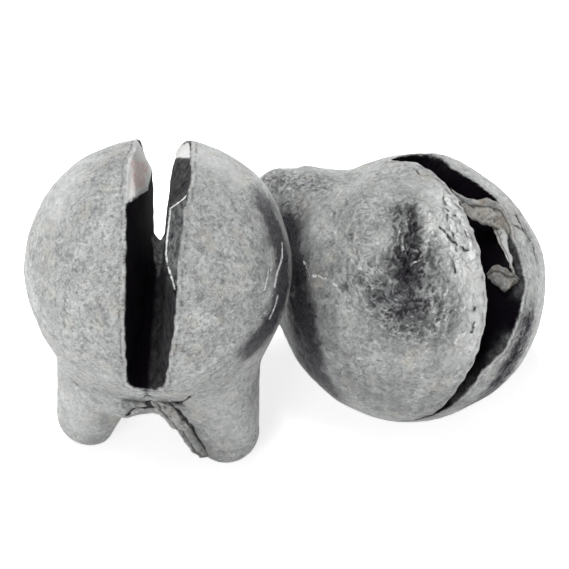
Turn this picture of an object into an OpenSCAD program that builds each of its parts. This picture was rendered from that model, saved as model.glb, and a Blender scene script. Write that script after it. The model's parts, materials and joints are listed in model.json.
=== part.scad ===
// A pair of removable split shot sinkers, cast in lead.
// Each shot is a ball with a slot across it for the line, and two ears behind the slot.
// Pinching the ears opens the slot, and pinching the ball closes it on the line.
// The front shot stands on its ears with its slot open. The rear shot lies on the table, pinched.
// Each shot is drawn in its own frame: X goes across the slot, -Y is the side with the wide end
// of the slot, and Z points out of its mouth, all from the centre of the ball.

/* [Front shot] */
// Diameter of the front ball
front_ball_d = 10; // [9:0.1:12]
// Width of the front slot at the middle of the ball
front_slot_w = 1.1; // [1:0.05:1.5]
// Extra width of the front slot at its mouth
front_slot_flare = 0.8; // [0.2:0.05:1]
// Extra width of the front slot at its wide end
front_slot_skew = 0.3; // [0:0.05:0.7]
// Distance from the middle of the front slot to the middle of the ball
front_slot_shift = -0.15; // [-0.3:0.05:0.3]
// How far the tips of the front ears stand out below the ball
front_ear_out = 3.4; // [2.8:0.1:4]

/* [Rear shot] */
// Diameter of the rear ball
rear_ball_d = 10.3; // [9:0.1:12]
// Width of the rear slot at the middle of the ball
rear_slot_w = 0.1; // [0.1:0.05:0.8]
// Extra width of the rear slot at its mouth
rear_slot_flare = 1.4; // [0.4:0.05:1.6]
// Extra width of the rear slot at its wide end
rear_slot_skew = 1.3; // [0.4:0.05:1.6]
// Distance from the middle of the rear slot to the middle of the ball
rear_slot_shift = 0.6; // [0:0.05:0.7]
// How far the tip of the far ear stands out of the rear ball
rear_far_ear_out = 2.25; // [2:0.05:3.4]
// How far the tip of the near ear stands out of the rear ball
rear_near_ear_out = 1.45; // [1.2:0.05:2.2]

/* [Slot and web] */
// Narrowest that either slot is anywhere
kerf = 0.1; // [0.08:0.01:0.2]
// Depth of the slot's floor below the middle of the ball
slot_drop = 1.9; // [1.6:0.05:2.2]
// Distance past the middle of the ball where the slot's floor starts to fall
floor_run = 1.35; // [1:0.05:2]
// Angle at which the floor falls from there
floor_fall = 19; // [5:1:25]
// Thickness of the web that the halves bend on
web_d = 3.6; // [3.2:0.1:4]
// Length of the web where it shows between the ears
web_tail_l = 5; // [3:0.1:5.2]
// Clearance round the web on the half that swings, which is the left one
web_clearance = 0.04; // [0.03:0.01:0.08]
// Diameter of the channel that the line lies in
line_channel_d = 0.5; // [0.3:0.05:0.8]
// Height of the bevel inside the mouth
bevel_h = 1.7; // [1:0.1:2.5]
// How far the bevel leans back from the slot wall
bevel_lean = 0.35; // [0.1:0.05:0.6]

/* [Ears] */
// Width across both ears
ear_spread = 7.8; // [7.2:0.1:8.4]
// Width of an ear along the line, at its tip
ear_w = 4.2; // [3.4:0.1:5]
// Thickness of an ear at its tip
ear_tip_d = 2.5; // [2:0.1:2.8]
// Width of an ear along the line, where it grows out of the ball
ear_root_w = 6.4; // [5.2:0.1:7]
// Thickness of an ear where it grows out of the ball
ear_root_d = 4.8; // [4:0.1:5]
// How far the right ear of the front shot leans towards the wide end of the slot
front_ear_slide = 0.7; // [0:0.05:1]
// How far the near ear of the rear shot leans towards the wide end of the slot
rear_ear_slide = 0.5; // [0:0.05:1]
// Lean of each side of the notch between the ears
notch_angle = 20; // [16:1:24]
// Thickness along the line of the burr on the right ear of the front shot
burr_t = 0.9; // [0.5:0.1:1.4]
// Distance from the burr's front face to the end of the web
burr_inset = 0.15; // [0.1:0.05:0.5]

/* [Torn lip] */
// Length of the torn lip across the slot
lip_l = 1.2; // [0.6:0.1:1.4]
// Width of the torn lip along the edge of the slot
lip_w = 2.2; // [1.5:0.1:3]
// Thickness of the torn lip
lip_t = 0.5; // [0.3:0.05:0.7]

/* [Placing] */
// Gap between the two balls
pair_gap = 0.25; // [0.1:0.05:1]
// Direction from the front shot to the rear shot, in degrees
pair_turn = 12; // [5:0.5:20]
// Turn of the front shot where it stands
front_turn = -2.5; // [-8:0.5:4]
// Roll of the rear shot about its slot
rear_roll = -79; // [-84:1:-74]
// Pitch of the rear shot
rear_pitch = -34; // [-38:1:-30]
// Turn of the rear shot on the table
rear_turn = -142; // [-146:1:-138]

/* [Hidden] */

lead = [0.62, 0.64, 0.63];
dark_lead = [0.45, 0.46, 0.47];
bright_lead = [0.78, 0.79, 0.79];
ball_fn = 96;
blob_fn = 36;
left = -1;
right = 1;
// A cutting block is this many ball diameters long
block_share = 3;
// The roots of the ears sit this share of the ball's radius below its middle
root_drop_share = 0.45;
// The burr's foot stands this share of the tip's thickness from the middle of the ear's tip
burr_foot_share = 0.42;
// The torn lip lies this share of the ball's radius from its middle
lip_place_share = 0.88;
// Direction of the torn lip, from the mouth towards the wide end of the slot, in degrees
lip_turn = 49;
// The torn lip narrows to this share of its width
lip_taper_share = 0.45;

// Sizes that differ between the halves of a shot are held as a pair, left one first
function of_side(pair, side) = pair[side == left ? 0 : 1];

// Tip centres of an ear: side is -1 or 1 across the slot, and end is -1 or 1 along the line
function ear_tip(side, end, reaches, slides) = [
    side * (ear_spread - ear_tip_d) / 2,
    end * (ear_w - ear_tip_d) / 2 - of_side(slides, side),
    -(of_side(reaches, side) - ear_tip_d / 2)];

// A point of the rear shot turned as the shot lies
function about_x(p, a) = [p[0], p[1] * cos(a) - p[2] * sin(a), p[1] * sin(a) + p[2] * cos(a)];
function about_y(p, a) = [p[0] * cos(a) + p[2] * sin(a), p[1], p[2] * cos(a) - p[0] * sin(a)];
function about_z(p, a) = [p[0] * cos(a) - p[1] * sin(a), p[0] * sin(a) + p[1] * cos(a), p[2]];
function laid(p) = about_z(about_y(about_x(p, rear_roll), rear_pitch), rear_turn);

front_reach = front_ball_d / 2 + front_ear_out;
front_reaches = [front_reach, front_reach];
front_slides = [0, front_ear_slide];
rear_reaches = [rear_ball_d / 2 + rear_far_ear_out, rear_ball_d / 2 + rear_near_ear_out];
rear_slides = [0, rear_ear_slide];
rear_tips = [for (side = [left, right]) for (end = [-1, 1])
    laid(ear_tip(side, end, rear_reaches, rear_slides))];
front_height = front_reach;
rear_height = max(rear_ball_d / 2, ear_tip_d / 2 - min([for (p = rear_tips) p[2]]));
ball_distance = (front_ball_d + rear_ball_d) / 2 + pair_gap;
plan_distance = sqrt(pow(ball_distance, 2) - pow(rear_height - front_height, 2));
rear_offset = [plan_distance * cos(pair_turn), plan_distance * sin(pair_turn),
    rear_height - front_height];

// The origin is under the middle of the pair
low_x = -front_ball_d / 2;
high_x = rear_offset[0] + rear_ball_d / 2;
front_lip_x = (front_slot_w + front_slot_skew) / 2;
front_lip_y = -sqrt(pow(front_ball_d / 2, 2) - pow(front_lip_x, 2));
low_y = min([for (side = [left, right])
    about_z([side * front_lip_x, front_lip_y, 0], front_turn)[1]]);
high_y = rear_offset[1] + ear_tip_d / 2 + max([for (p = rear_tips) p[1]]);
front_centre = [-(low_x + high_x) / 2, -(low_y + high_y) / 2, front_height];
rear_centre = front_centre + rear_offset;

web_axis_drop = slot_drop + web_d / 2;

// Each shot's own sizes travel to its pieces in these names
module front_shot() {
    $ball_d = front_ball_d;
    $slot_w = front_slot_w;
    $flare = front_slot_flare;
    $skew = front_slot_skew;
    $shift = front_slot_shift;
    $reaches = front_reaches;
    $slides = front_slides;
    $bevel_side = right;
    translate(front_centre)
        rotate([0, 0, front_turn])
            children();
}

module rear_shot() {
    $ball_d = rear_ball_d;
    $slot_w = rear_slot_w;
    $flare = rear_slot_flare;
    $skew = rear_slot_skew;
    $shift = rear_slot_shift;
    $reaches = rear_reaches;
    $slides = rear_slides;
    $bevel_side = left;
    translate(rear_centre)
        rotate([rear_roll, rear_pitch, rear_turn])
            children();
}

// The ball, turned so that its seam runs along the slot
module ball() {
    rotate([0, 0, 90])
        sphere(d = $ball_d, $fn = ball_fn);
}

// A round bar along the line, under the middle of the slot
module line_bar(d, drop, l) {
    translate([$shift, 0, -drop])
        rotate([90, 0, 0])
            cylinder(d = d, h = l, center = true, $fn = ball_fn);
}

// Everything on one side of a plane across X that leans by these angles
module beyond(side, x, pitch, turn) {
    block = block_share * $ball_d;
    translate([x, 0, 0])
        rotate([0, pitch, turn])
            translate([side * block / 2, 0, 0])
                cube(block, center = true);
}

// The space of one half: outside the slanted wall of the slot and outside the kerf
module half_space(side) {
    intersection() {
        beyond(side, $shift + side * $slot_w / 2,
            side * atan($flare / $ball_d), side * atan($skew / $ball_d));
        beyond(side, $shift + side * kerf / 2, 0, 0);
    }
}

// The bevel inside the mouth leans back from the slot wall, on one half of each shot
module bevel_space(side) {
    lean = atan($flare / $ball_d + (side == $bevel_side ? bevel_lean : 0));
    foot_z = $ball_d / 2 - bevel_h;
    foot_x = $slot_w / 2 + foot_z * $flare / $ball_d;
    translate([0, 0, foot_z])
        beyond(side, $shift + side * foot_x, side * lean, side * atan($skew / $ball_d));
}

module web_seat(side) {
    clearance = side == left ? web_clearance : 0;
    line_bar(web_d + 2 * clearance, web_axis_drop, block_share * $ball_d);
}

module line_channel() {
    line_bar(line_channel_d, slot_drop, block_share * $ball_d);
}

// At its far end the slot cuts down into the web, below a floor that falls
module falling_slot() {
    block = block_share * $ball_d;
    difference() {
        translate([0, floor_run, -slot_drop])
            rotate([-floor_fall, 0, 0])
                translate([-block / 2, 0, 0])
                    cube(block);
        half_space(left);
        half_space(right);
    }
}

// Half of the ball, with its wall of the slot
module jaw(side) {
    difference() {
        intersection() {
            ball();
            half_space(side);
            bevel_space(side);
        }
        web_seat(side);
        line_channel();
    }
}

// The space of one ear: its side of the notch, whose walls meet on the web's axis
module notch_space(side) {
    translate([$shift, 0, -web_axis_drop])
        beyond(side, 0, -side * notch_angle, 0);
}

// The rounded body of an ear, from its root in the ball to its tip
module ear_body(side) {
    root_x = (ear_spread - ear_root_d) / 2;
    root_y = (ear_root_w - ear_root_d) / 2;
    root_z = -root_drop_share * $ball_d / 2;
    hull() {
        for (end = [-1, 1]) {
            translate(ear_tip(side, end, $reaches, $slides))
                sphere(d = ear_tip_d, $fn = blob_fn);
            translate([side * root_x, end * root_y, root_z])
                sphere(d = ear_root_d, $fn = blob_fn);
        }
    }
}

// An ear grows out of the ball and ends in a rounded tip
module ear(side) {
    difference() {
        intersection() {
            ear_body(side);
            notch_space(side);
        }
        ball();
        web_seat(side);
    }
}

// The web is a round bar of lead that fills the root of the slot
module web() {
    difference() {
        union() {
            intersection() {
                line_bar(web_d, web_axis_drop, $ball_d);
                ball();
            }
            line_bar(web_d, web_axis_drop, web_tail_l);
        }
        line_channel();
        falling_slot();
    }
}

// A fin of flash that fills the inner side of the right ear, from the web down to the ear's tip
module burr() {
    tip = ear_tip(right, -1, $reaches, $slides);
    low = web_axis_drop + web_d / 2;
    difference() {
        translate([0, -(web_tail_l / 2 - burr_inset), 0])
            rotate([90, 0, 180])
                mirror([1, 0, 0])
                    linear_extrude(burr_t)
                        polygon([
                            [$shift, -web_axis_drop],
                            [$shift + burr_inset, -low],
                            [tip[0] - ear_tip_d * burr_foot_share, tip[2] - ear_tip_d / 4],
                            [tip[0], tip[2]]]);
        ear_body(right);
        web_seat(right);
        ball();
    }
}

// A tongue of torn lead that reaches into the slot from the right half
module torn_lip() {
    drop = lip_place_share * $ball_d / 2;
    wall_x = $shift + ($slot_w + $flare * cos(lip_turn) + $skew * sin(lip_turn)) / 2;
    difference() {
        rotate([lip_turn, 0, 0])
            translate([wall_x, 0, drop])
                hull() {
                    cube([lip_t, lip_w, lip_t], center = true);
                    translate([-lip_l + lip_t / 2, 0, 0])
                        cube([lip_t, lip_w * lip_taper_share, lip_t / 2], center = true);
                }
        half_space(right);
    }
}

module front_left_jaw() {
    color(lead)
        front_shot()
            jaw(left);
}

module front_right_jaw() {
    color(lead)
        front_shot()
            jaw(right);
}

module front_left_ear() {
    color(lead)
        front_shot()
            ear(left);
}

module front_right_ear() {
    color(lead)
        front_shot()
            ear(right);
}

module front_web() {
    color(dark_lead)
        front_shot()
            web();
}

module front_burr() {
    color(bright_lead)
        front_shot()
            burr();
}

module rear_near_jaw() {
    color(lead)
        rear_shot()
            jaw(right);
}

module rear_far_jaw() {
    color(lead)
        rear_shot()
            jaw(left);
}

module rear_near_ear() {
    color(lead)
        rear_shot()
            ear(right);
}

module rear_far_ear() {
    color(lead)
        rear_shot()
            ear(left);
}

module rear_web() {
    color(dark_lead)
        rear_shot()
            web();
}

module rear_torn_lip() {
    color(bright_lead)
        rear_shot()
            torn_lip();
}

front_left_jaw();
front_right_jaw();
front_left_ear();
front_right_ear();
front_web();
front_burr();
rear_near_jaw();
rear_far_jaw();
rear_near_ear();
rear_far_ear();
rear_web();
rear_torn_lip();
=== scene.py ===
import json
import math
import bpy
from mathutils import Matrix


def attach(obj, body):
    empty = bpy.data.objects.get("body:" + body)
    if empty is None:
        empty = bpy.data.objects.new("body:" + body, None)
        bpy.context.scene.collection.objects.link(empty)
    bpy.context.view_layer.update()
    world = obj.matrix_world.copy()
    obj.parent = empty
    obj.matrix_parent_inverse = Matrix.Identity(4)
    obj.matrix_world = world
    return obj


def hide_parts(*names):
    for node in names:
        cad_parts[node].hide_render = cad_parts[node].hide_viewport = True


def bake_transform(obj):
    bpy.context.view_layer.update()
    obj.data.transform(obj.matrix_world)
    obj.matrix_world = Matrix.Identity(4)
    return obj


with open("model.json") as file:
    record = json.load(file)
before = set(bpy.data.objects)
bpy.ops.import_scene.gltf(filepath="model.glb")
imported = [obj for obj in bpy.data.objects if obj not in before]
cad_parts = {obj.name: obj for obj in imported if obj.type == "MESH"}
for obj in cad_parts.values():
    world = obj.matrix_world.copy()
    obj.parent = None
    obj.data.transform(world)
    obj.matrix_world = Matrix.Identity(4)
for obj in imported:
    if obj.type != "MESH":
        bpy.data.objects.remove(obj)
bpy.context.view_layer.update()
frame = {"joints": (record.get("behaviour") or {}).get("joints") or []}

from types import SimpleNamespace

import bmesh
import bpy
import numpy as np
from bpy.props import FloatProperty, FloatVectorProperty, IntProperty, PointerProperty
from mathutils import Euler, Matrix, Vector, noise

bl_info = {
    "name": "Split Shot Pair",
    "version": (1, 0, 0),
    "blender": (4, 5, 0),
    "location": "3D View > Sidebar > Split Shot",
    "description": "Two cast lead split shots, one open and standing on its ears, one pinched and lying down",
    "category": "Add Mesh",
}

MM = 0.001
LEFT, RIGHT = -1, 1

# The photograph is 569 pixels wide, was taken from this many degrees above the table, and shows the middle
# of the front ball at this pixel. Then the directions in space of up the photograph and out of it.
PHOTO_W = 569
PHOTO_ELEVATION = math.radians(46)
PIXELS_PER_MM = 26.2
FRONT_BALL_PIXEL = (158, 268)
PHOTO_UP = np.array([0, math.sin(PHOTO_ELEVATION), math.cos(PHOTO_ELEVATION)])
PHOTO_OUT = np.array([0, -math.cos(PHOTO_ELEVATION), math.sin(PHOTO_ELEVATION)])

# Where the line of sight through a pixel is searched for the lead, as nearness to the camera in mm
SIGHT_NEAR, SIGHT_FAR, SIGHT_STEP = 6.0, -7.0, 0.03

# Fillets and rounded edges of a casting, in mm, and the slant of the notch between its ears
FLOOR_ROUND = 0.5
NOTCH_ROUND = 0.4
WEB_END_ROUND = 0.4
WEB_FILLET = 1.2
NOTCH_SLANT = math.radians(20)
# The photograph shows the rims of the slots up to this angle from the mouth, in degrees, and their
# shape ends at the next one. They hold this share of their reach in full.
RIM_SEEN, RIM_END = 126, 150
RIM_FULL = 0.2

# The skin, in mm: room round the field, how far edges and hollows are felt, the blur where the slot's
# wall starts, and the dark line along a rim. A cut merges corners that lie this near, in metres.
ROOM = 0.3
EDGE_FEEL = 0.16
INNER_BLUR = 0.04
RIM_LINE, RIM_LINE_W = 0.2, 0.05
CUT_MERGE = 1e-7

# How the surface is found: rounds of settling, the least squared slope that it divides by, half the span
# in mm over which a slope is measured, and the least length of one
SETTLE_ROUNDS = 3
LEAST_STEEPNESS = 0.25
SLOPE_REACH = 0.02
LEAST_LENGTH = 1e-6

# Noise: how fast its finer waves fade and shorten, how narrow its ridges are, and how far marks wander
# from their lines and over what width, in mm
NOISE_FADE, NOISE_STEP = 0.7, 2.0
RIDGE_NARROWNESS = 2.6
WANDER, WANDER_W = 0.13, 0.5
WANDER_SEEDS = (61, 62, 63)

CRACK_DEPTH = {"front": 0.1, "rear": 0.07}
# The dimple in the rear ball: half width and depth, then place, half width and height of its rim, in mm
DIMPLE_W, DIMPLE_DEPTH = 0.34, 0.3
DIMPLE_RIM, DIMPLE_RIM_W, DIMPLE_RIM_H = 0.6, 0.14, 0.15
# How dark the dimple's hollow is painted, as painted shade
DIMPLE_SHADE = 0.75

# How far painted light lifts patches of the slots' walls from their near-black painted shade: the front
# facet, the rear sheen, the front floor, the whole right wall, and its upper part, which starts this far from
# the middle in this direction. Then how pale the chip is, and the blur between the slot's two sides, in mm.
FACET_LIGHT, SHEEN_LIGHT, FLOOR_LIGHT, WALL_LIGHT, UPPER_LIGHT = 0.7, 0.6, 0.9, 0.2, 0.3
UPPER_WAY, UPPER_START, UPPER_FULL = -42, 2.3, 2.7
CHIP_PALE = 0.75
SIDE_BLUR = 0.05

# The wrinkles that pliers left: strength of the wide and the fine ones, and how much finer those are
WIDE_WRINKLES, FINE_WRINKLES, FINER = 0.7, 0.4, 0.55

# Torn strips: how far their edges waver and over what width, their wide and fine bumps as width and
# height, and how much thicker they are than said, in mm. Then, as shares of their width, where the rolled
# edge ends, the groove and its half width, and the crease.
WAVER, WAVER_W = 0.07, 0.35
WIDE_BUMPS, FINE_BUMPS = (0.5, 0.05), (0.16, 0.02)
SPARE = 0.02
ROLL_W, GROOVE_AT, GROOVE_W = 0.12, 0.24, 0.09
ROLL_WAVE = 5.2
CREASE_ACROSS = 0.3

# Place and size of the lamps, and how near and far the camera sees, in metres
KEY_AT, KEY_SIZE = (-0.05, -0.01, 0.30), 0.13
FILL_AT, FILL_SIZE = (-0.12, -0.26, 0.14), 0.14
CLIP_NEAR, CLIP_FAR = 0.01, 10
WHITE = (1, 1, 1, 1)

# Rims of the slots: angle from the mouth towards the wide end in degrees, place across the slot in mm,
# and how far the rim's own line reaches into the slot in mm
FRONT_LEFT_RIM = ((-124, -0.22, 0.3), (-119, -0.38, 0.5), (-98, -0.49, 0.6), (-85, -0.51, 0.6),
                  (-77, -0.68, 0.6), (-46, -0.88, 0.8), (-24, -0.89, 0.8), (-9, -1.14, 1.0),
                  (7, -1.11, 1.0), (27, -1.05, 1.0), (44, -1.03, 1.5), (59, -1.04, 2.0),
                  (79, -0.97, 2.5), (110, -0.91, 2.5), (125, -0.6, 1.0))
FRONT_RIGHT_RIM = ((-124, -0.04, 0.3), (-104, 0.32, 0.5), (-84, 0.38, 0.5), (-67, 0.48, 0.8),
                   (-46, 1.10, 1.0), (-1, 1.25, 1.6), (16, 1.13, 0.3), (27, 1.08, 0.3), (38, 0.96, 0.3),
                   (44, 0.89, 0.4), (60, 0.90, 1.5), (72, 0.84, 2.0), (99, 0.52, 2.0), (118, 0.4, 1.0))
REAR_NEAR_RIM = ((-60, 0.6, 1.0), (-43, 0.62, 1.3), (-25, 0.94, 1.3), (-6, 1.07, 1.3), (14, 1.22, 1.3),
                 (37, 1.47, 1.3), (56, 1.5, 1.3), (74, 1.46, 1.3), (99, 1.25, 1.3), (108, 1.5, 1.3))
REAR_FAR_RIM = ((-60, 0.5, 1.0), (-41, 0.3, 1.3), (-14, 0.42, 1.3), (-3, -0.26, 1.3), (15, -0.57, 1.3),
                (26, -0.8, 1.3), (45, -0.4, 1.3), (66, -0.55, 1.3), (77, -0.05, 1.3), (87, 0.36, 1.3),
                (97, -0.05, 1.3), (106, -0.45, 1.3))

# Facets on the walls of the front slot: side, direction from the mouth towards the wide end in degrees,
# and a profile along it of distance from the ball's middle and depth of the facet, both in mm
FRONT_FACETS = (
    (LEFT, -42, ((1.5, 0), (2.83, -0.12), (5.2, 0.06))),
    (RIGHT, -44, ((4.1, 0), (5.2, 0.6))),
    (RIGHT, 28.5, ((3.1, 0), (4.35, -0.3), (5.2, 0.5))),
)

# Broad bulges and hollows of the balls: a pixel of the photograph, then width and height in mm
FRONT_BULGES = (((250, 172), 1.6, 0.12), ((66, 175), 1.6, 0.06), ((125, 412), 0.45, 0.22))
REAR_BULGES = (((352, 170), 1.1, -0.42), ((440, 156), 1.2, 0.15), ((545, 250), 1.5, 0.1),
               ((470, 412), 1.5, -0.1))

# Marks on the lead, as lines through pixels of the photograph, then width in mm and strength
# Tarnish, with painted shade and painted dark reflection where the front shot meets the rear one, and painted
# shade between its ears
FRONT_TARNISH_AND_SHADE = (
    (((266, 208), (275, 228), (282, 250), (284, 276), (279, 302), (268, 328), (254, 346)), 0.9, 1.15),
    (((250, 216), (262, 240), (266, 275), (258, 310)), 0.8, 0.35),
    (((206, 250), (222, 300), (216, 345)), 1.2, 0.25),
    (((126, 400), (150, 403), (178, 404)), 0.3, 0.75),
    (((90, 395), (130, 380)), 1.0, 0.18),
)
# Rubbed lead and painted highlights: bright streaks where the front shot meets the rear one, and along the
# slot's edges
FRONT_RUBS_AND_HIGHLIGHTS = (
    (((283, 244), (282, 258), (277, 272), (274, 286)), 0.09, 1.0),
    (((277, 296), (270, 318)), 0.08, 0.9),
    (((268, 270), (264, 290)), 0.08, 0.7),
    (((131, 201), (139, 194), (148, 188)), 0.08, 1.0),
    (((187, 197), (172, 208), (170, 220), (167.5, 243), (166.5, 254), (170, 270), (176, 289)), 0.07, 0.8),
)
# Patches of the front slot's walls, as outlines in pixels of the photograph
# A bevel of fresh-cut lead, painted near white as a painted reflection
FRONT_CUT = ((126, 150), (137, 140), (147, 155), (151, 166), (148, 188), (131, 201), (124, 206))
# Painted pink glints on that bevel
FRONT_GLINTS = ((132, 160), (146, 162), (147, 176), (144, 187), (133, 190))
FRONT_CHIP = ((172, 146), (190, 143), (191, 159), (172, 157))
# A facet of the wall, lit grey by painted light
FRONT_FACET = ((190, 194), (170, 208), (168, 218), (165, 243), (164, 254), (170, 271), (173, 281), (184, 292))
# The slot's floor, lit grey by painted light
FRONT_FLOOR = ((150, 236), (164, 236), (162, 262), (158, 278), (154, 262))
# Pale lead, with painted sheen on the upper part of the ball
FRONT_PALE_AND_SHEEN = (
    (((60, 210), (75, 180)), 0.6, 0.5),
    (((246, 165), (270, 190)), 0.6, 0.45),
    (((200, 158), (226, 168)), 0.9, 0.6),
    (((72, 405), (84, 432)), 0.9, 0.45),
    (((226, 405), (232, 438)), 0.9, 0.35),
)
FRONT_FILED = ((((246, 150), (272, 190), (276, 230)), 0.5, 0.6),)
FRONT_CRUMPLE = ((((128, 404), (148, 398), (170, 404)), 0.38, 0.75),)
FRONT_CRACKS = (
    (((147, 390), (147, 398), (149, 404), (154, 408)), 0.11, 1.25),
    (((126, 413), (131, 408), (146, 408), (154, 408)), 0.10, 1.25),
    (((170, 405), (184, 401), (200, 393)), 0.09, 1.1),
    (((170, 406), (183, 418), (194, 436), (204, 453)), 0.13, 1.25),
    (((134, 390), (146, 392), (158, 390)), 0.07, 0.9),
)
# Tarnish, with painted shade: the darkest band where the two shots meet, and the darker lower and far parts
# of the rear shot
REAR_TARNISH_AND_SHADE = (
    (((286, 236), (292, 270), (298, 310), (306, 345), (320, 385)), 1.3, 1.2),
    (((312, 250), (322, 310), (338, 360)), 1.1, 0.45),
    (((330, 246), (344, 275)), 0.8, 0.35),
    (((270, 176), (286, 195), (296, 215)), 0.8, 0.3),
    (((407, 258), (408, 285), (406, 302), (414, 316)), 0.75, 0.8),
    (((380, 288), (398, 314)), 0.6, 0.6),
    (((399, 214), (398, 248)), 0.25, 0.6),
    (((414, 213), (416, 236), (410, 252)), 0.36, 0.7),
    (((430, 262), (440, 300)), 0.6, 0.3),
    (((528, 330), (510, 366), (478, 404)), 0.85, 1.0),
    (((345, 325), (400, 345), (445, 345)), 1.0, 0.32),
    (((396, 160), (430, 166), (470, 186)), 0.25, 0.5),
    (((340, 372), (400, 396), (450, 400)), 2.0, 0.5),
)
# Rubbed lead and painted highlights, such as on the raised rim of the dimple
REAR_RUBS_AND_HIGHLIGHTS = (
    (((401, 222), (399, 238), (402, 257)), 0.10, 0.6),
    (((428, 208), (431, 222), (430, 238), (423, 252), (412, 265)), 0.10, 0.66),
    (((303, 262), (313, 274), (336, 284)), 0.07, 0.8),
    (((440, 290), (470, 262)), 0.07, 0.7),
)
# Pale crackled lead, with painted light that brightens the right side of the ball
REAR_PALE_AND_LIGHT = (
    (((440, 206), (455, 235), (470, 258)), 1.0, 1.1),
    (((470, 268), (476, 300), (472, 340)), 0.9, 0.75),
    (((512, 300), (520, 340)), 0.6, 0.7),
)
REAR_CRUMPLE = (
    (((404, 215), (411, 262)), 0.85, 1.0),
    (((411, 262), (408, 312)), 1.3, 1.15),
    (((440, 210), (458, 250)), 0.9, 0.3),
    (((374, 280), (390, 318)), 0.9, 0.95),
    (((428, 290), (440, 322)), 1.0, 0.85),
    (((355, 200), (362, 240)), 0.7, 0.4),
    (((528, 315), (520, 345), (506, 376)), 0.7, 1.0),
    (((520, 215), (535, 255)), 0.7, 0.4),
    (((340, 175), (300, 200)), 0.9, 0.3),
)
# Painted sheen on the far wall of the slot
REAR_SHEEN = (
    (((508, 343), (492, 370), (462, 402)), 0.35, 1.0),
    (((509, 236), (518, 262), (521, 290)), 0.3, 0.7),
)
REAR_FILED = ((((262, 185), (285, 180), (312, 182)), 0.8, 1.0), (((330, 200), (350, 230)), 0.8, 0.35))
REAR_DIMPLE = ((414, 214), (416, 232), (409, 252))
REAR_CRACKS = (
    (((443, 196), (448, 214), (451, 230), (458, 243), (453, 258)), 0.08, 0.85),
    (((441, 226), (449, 238), (458, 243), (469, 252), (482, 258)), 0.08, 0.9),
    (((456, 214), (462, 226), (468, 240)), 0.075, 0.8),
    (((452, 258), (456, 272)), 0.075, 0.9),
    (((475, 308), (473, 322), (470, 338)), 0.08, 0.95),
    (((516, 214), (524, 229), (532, 244), (537, 258)), 0.085, 1.0),
    (((514, 226), (524, 229), (527, 240)), 0.08, 0.95),
    (((399, 160), (418, 172), (430, 186)), 0.075, 0.85),
)

# The tongue of torn lead: across it, pairs of a pixel and a nearness to the camera in mm, from the near
# rim to the far wall
TONGUE = (
    ((450, 188, 2.9), (467, 217, 3.6)),
    ((464, 197, 3.15), (477, 222, 3.55)),
    ((476, 201, 3.0), (487, 225, 3.3)),
    ((486, 198, 2.8), (492, 227, 3.1)),
    ((494, 200, 2.65), (497, 229, 2.95)),
    ((501, 206, 2.6), (502, 231, 2.85)),
    ((506, 215, 2.55), (506, 233, 2.75)),
    ((511, 228, 2.5), (510, 236, 2.6)),
)
# A glossy fold of torn lead that hangs from the tongue, and a lump under it, in the same way
FOLD = (
    ((489, 224, 2.7), (508, 230, 2.75)),
    ((494, 233, 2.75), (509, 238, 2.8)),
    ((499, 243, 2.8), (510, 247, 2.85)),
    ((504, 253, 2.85), (512, 257, 2.9)),
    ((509, 264, 2.85), (514, 267, 2.9)),
    ((513, 273, 2.7), (516, 275, 2.75)),
)
LUMP = (
    ((488, 274, 2.3), (489, 281, 2.3)),
    ((492, 268, 2.6), (494, 285, 2.55)),
    ((498, 264, 2.8), (499, 289, 2.75)),
    ((504, 267, 2.9), (504, 293, 2.8)),
    ((510, 271, 2.9), (509, 290, 2.8)),
    ((515, 275, 2.8), (513, 286, 2.7)),
    ((519, 279, 2.6), (517, 283, 2.6)),
)
# The burr on the right ear of the front shot, in the same way, from the web down to the ear's tip
BURR = (
    ((150, 402, -1.2), (169, 402, -1.2)),
    ((155, 411, -1.45), (177, 410, -1.5)),
    ((164, 420, -1.8), (184, 420, -1.9)),
    ((172, 429, -2.3), (193, 430, -2.75)),
    ((182, 440, -2.85), (199, 440, -3.15)),
    ((191, 451, -3.3), (205, 450, -3.5)),
    ((199, 460, -3.7), (210, 458, -3.8)),
)


def length(name, description, mm):
    return FloatProperty(name=name, description=description, default=mm * MM, unit="LENGTH")


def spot(name, description, mm):
    metres = tuple(v * MM for v in mm)
    return FloatVectorProperty(name=name, description=description, default=metres, unit="LENGTH")


def angle(name, description, degrees):
    return FloatProperty(name=name, description=description, default=math.radians(degrees), subtype="ANGLE")


def factor(name, description, value):
    return FloatProperty(name=name, description=description, default=value)


def power(name, description, watts):
    return FloatProperty(name=name, description=description, default=watts, unit="POWER")


def colour(name, description, rgb):
    return FloatVectorProperty(name=name, description=description, default=rgb, subtype="COLOR")


class SlotAndWeb:
    """Sizes that are alike in both shots"""

    kerf: length("Kerf", "Least width of the slot", 0.1)
    floor_drop: length("Floor", "Depth of the slot's floor below the middle", 1.9)
    floor_run: length("Floor run", "Where the floor starts to fall, past the middle", 1.35)
    floor_fall: factor("Floor fall", "How steeply the floor falls from there", 0.34)
    web_d: length("Web", "Thickness of the web", 3.6)
    web_tail: length("Web tail", "Length of the web between the ears", 5)
    ear_flat: length("Flat", "Straight stretch of an ear along the line", 1.7)


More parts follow.
